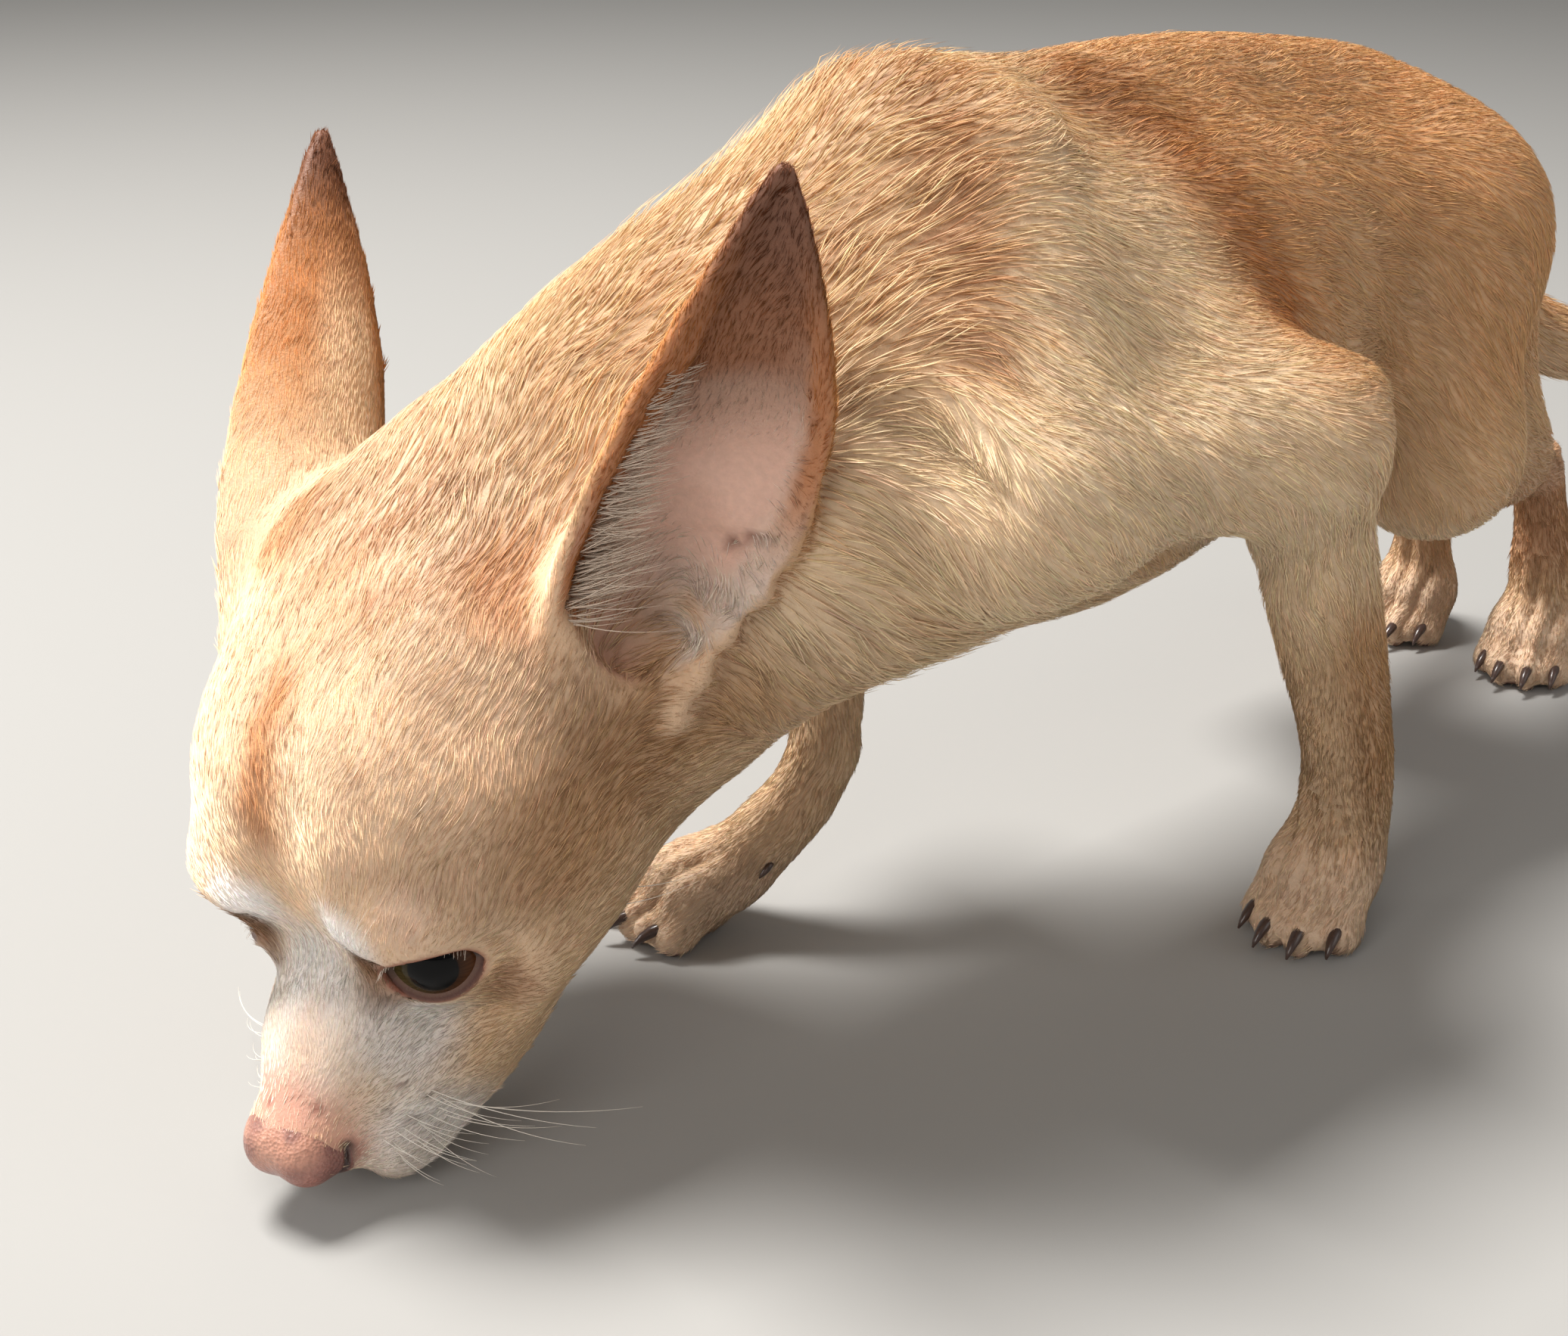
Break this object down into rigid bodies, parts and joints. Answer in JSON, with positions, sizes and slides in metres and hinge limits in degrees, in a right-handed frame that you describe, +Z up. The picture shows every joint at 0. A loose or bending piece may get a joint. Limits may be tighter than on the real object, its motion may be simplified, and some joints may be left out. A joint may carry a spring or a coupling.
{
  "type": "chihuahua",
  "caption": "Life-size standing chihuahua with its head lowered to sniff the floor, one forepaw forward, large upright ears and a short smooth coat.",
  "frame": {"origin": "middle of the box round the animal, on the floor it stands on", "axes": "-X is the way the dog faces, -Y its left side, +Z up"},
  "size_m": [0.3572, 0.1568, 0.1631],
  "materials": {
    "fawn_coat": "short fawn hair lying flat",
    "cream_coat": "short cream hair lying flat",
    "ear_coat": "very short red-brown hair over thin skin",
    "nose_leather": "moist pebbled skin",
    "eye_surface": "wet gloss"
  },
  "bodies": {
    "root": {"head": "fawn_coat", "neck": "fawn_coat", "torso": "fawn_coat", "tail": "fawn_coat", "hindleg_left": "fawn_coat", "hindleg_right": "fawn_coat", "foreleg_left": "cream_coat", "foreleg_right": "cream_coat", "forepaw_left": "cream_coat", "forepaw_right": "cream_coat", "hindpaw_left": "cream_coat", "hindpaw_right": "cream_coat", "ear_left": "ear_coat", "ear_right": "ear_coat", "nose": "nose_leather", "eye_left": "eye_surface", "eye_right": "eye_surface"}
  },
  "joints": []
}
